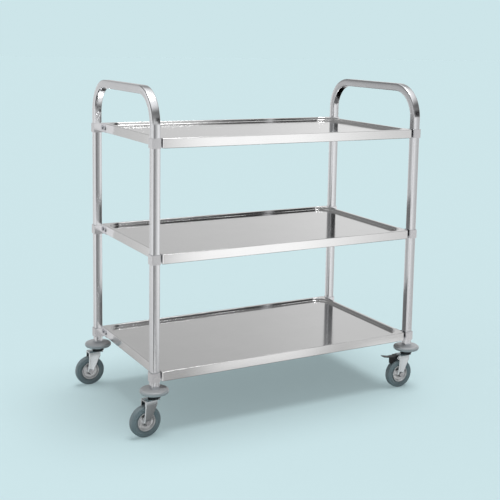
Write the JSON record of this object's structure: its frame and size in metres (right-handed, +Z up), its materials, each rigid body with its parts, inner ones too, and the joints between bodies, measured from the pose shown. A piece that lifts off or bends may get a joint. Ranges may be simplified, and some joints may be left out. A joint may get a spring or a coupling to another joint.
{
  "type": "shelf trolley",
  "caption": "Stainless steel shelf trolley: pressed shelves between square-tube end frames bent over as push handles, on swivel casters with brakes at one end.",
  "frame": {"origin": "centre of the whole trolley's footprint on the floor, with the casters trailing to the left", "axes": "+X along the length, towards the end with the braked casters; +Y across the depth, towards the back; +Z up from the floor"},
  "size_m": [1.0132, 0.563, 0.998],
  "materials": {
    "stainless_tube": "satin polished",
    "stainless_sheet": "bright polished",
    "stainless_channel": "satin",
    "clip_steel": "satin polished",
    "bolt_steel": "plated",
    "plated_steel": "zinc plated",
    "bearing_steel": "dark satin",
    "wheel_metal": "bright plated",
    "tyre_rubber": "matt grey",
    "bumper_rubber": "satin grey",
    "pedal_steel": "black",
    "black_rubber": "matt black"
  },
  "bodies": {
    "trolley_frame": {"left_end_frame": "stainless_tube", "right_end_frame": "stainless_tube", "bottom_shelf": "stainless_sheet", "bottom_shelf_stiffener": "stainless_channel", "bottom_saddle_clips": "clip_steel", "bottom_clip_bolts": "bolt_steel", "middle_shelf": "stainless_sheet", "middle_shelf_stiffener": "stainless_channel", "middle_saddle_clips": "clip_steel", "middle_clip_bolts": "bolt_steel", "top_shelf": "stainless_sheet", "top_shelf_stiffener": "stainless_channel", "top_saddle_clips": "clip_steel", "top_clip_bolts": "bolt_steel", "post_bumpers": "bumper_rubber", "caster_stems": "plated_steel", "stem_expanders": "black_rubber", "swivel_bearings": "bearing_steel"},
    "front_left_caster": {"front_left_fork": "plated_steel", "front_left_axle_bolt": "bolt_steel"},
    "front_left_wheel_set": {"front_left_wheel": "wheel_metal", "front_left_tyre": "tyre_rubber"},
    "rear_left_caster": {"rear_left_fork": "plated_steel", "rear_left_axle_bolt": "bolt_steel"},
    "rear_left_wheel_set": {"rear_left_wheel": "wheel_metal", "rear_left_tyre": "tyre_rubber"},
    "front_right_caster": {"front_right_fork": "plated_steel", "front_right_axle_bolt": "bolt_steel", "front_right_brake_pin": "bolt_steel"},
    "front_right_wheel_set": {"front_right_wheel": "wheel_metal", "front_right_tyre": "tyre_rubber"},
    "front_right_brake": {"front_right_brake_pedal": "pedal_steel", "front_right_brake_shoe": "black_rubber"},
    "rear_right_caster": {"rear_right_fork": "plated_steel", "rear_right_axle_bolt": "bolt_steel", "rear_right_brake_pin": "bolt_steel"},
    "rear_right_wheel_set": {"rear_right_wheel": "wheel_metal", "rear_right_tyre": "tyre_rubber"},
    "rear_right_brake": {"rear_right_brake_pedal": "pedal_steel", "rear_right_brake_shoe": "black_rubber"}
  },
  "joints": [
    {"name": "front_left_swivel", "type": "hinge", "parent": "trolley_frame", "child": "front_left_caster", "pos_m": [-0.43037, -0.2395, 0.112], "axis": [0, 0, 1], "continuous": true},
    {"name": "front_left_roll", "type": "hinge", "parent": "front_left_caster", "child": "front_left_wheel_set", "pos_m": [-0.45926, -0.24203, 0.0465], "axis": [-0.0872, 0.9962, 0], "continuous": true},
    {"name": "rear_left_swivel", "type": "hinge", "parent": "trolley_frame", "child": "rear_left_caster", "pos_m": [-0.43037, 0.2395, 0.112], "axis": [0, 0, 1], "continuous": true},
    {"name": "rear_left_roll", "type": "hinge", "parent": "rear_left_caster", "child": "rear_left_wheel_set", "pos_m": [-0.45937, 0.2395, 0.0465], "axis": [0, 1, 0], "continuous": true},
    {"name": "front_right_swivel", "type": "hinge", "parent": "trolley_frame", "child": "front_right_caster", "pos_m": [0.46463, -0.2395, 0.112], "axis": [0, 0, 1], "continuous": true},
    {"name": "front_right_roll", "type": "hinge", "parent": "front_right_caster", "child": "front_right_wheel_set", "pos_m": [0.43563, -0.2395, 0.0465], "axis": [0, 1, 0], "continuous": true},
    {"name": "front_right_brake_press", "type": "hinge", "parent": "front_right_caster", "child": "front_right_brake", "pos_m": [0.42363, -0.2395, 0.103], "axis": [0, -1, 0], "range_deg": [0, 7]},
    {"name": "rear_right_swivel", "type": "hinge", "parent": "trolley_frame", "child": "rear_right_caster", "pos_m": [0.46463, 0.2395, 0.112], "axis": [0, 0, 1], "continuous": true},
    {"name": "rear_right_roll", "type": "hinge", "parent": "rear_right_caster", "child": "rear_right_wheel_set", "pos_m": [0.43563, 0.2395, 0.0465], "axis": [0, 1, 0], "continuous": true},
    {"name": "rear_right_brake_press", "type": "hinge", "parent": "rear_right_caster", "child": "rear_right_brake", "pos_m": [0.42363, 0.2395, 0.103], "axis": [0, -1, 0], "range_deg": [0, 7]}
  ]
}
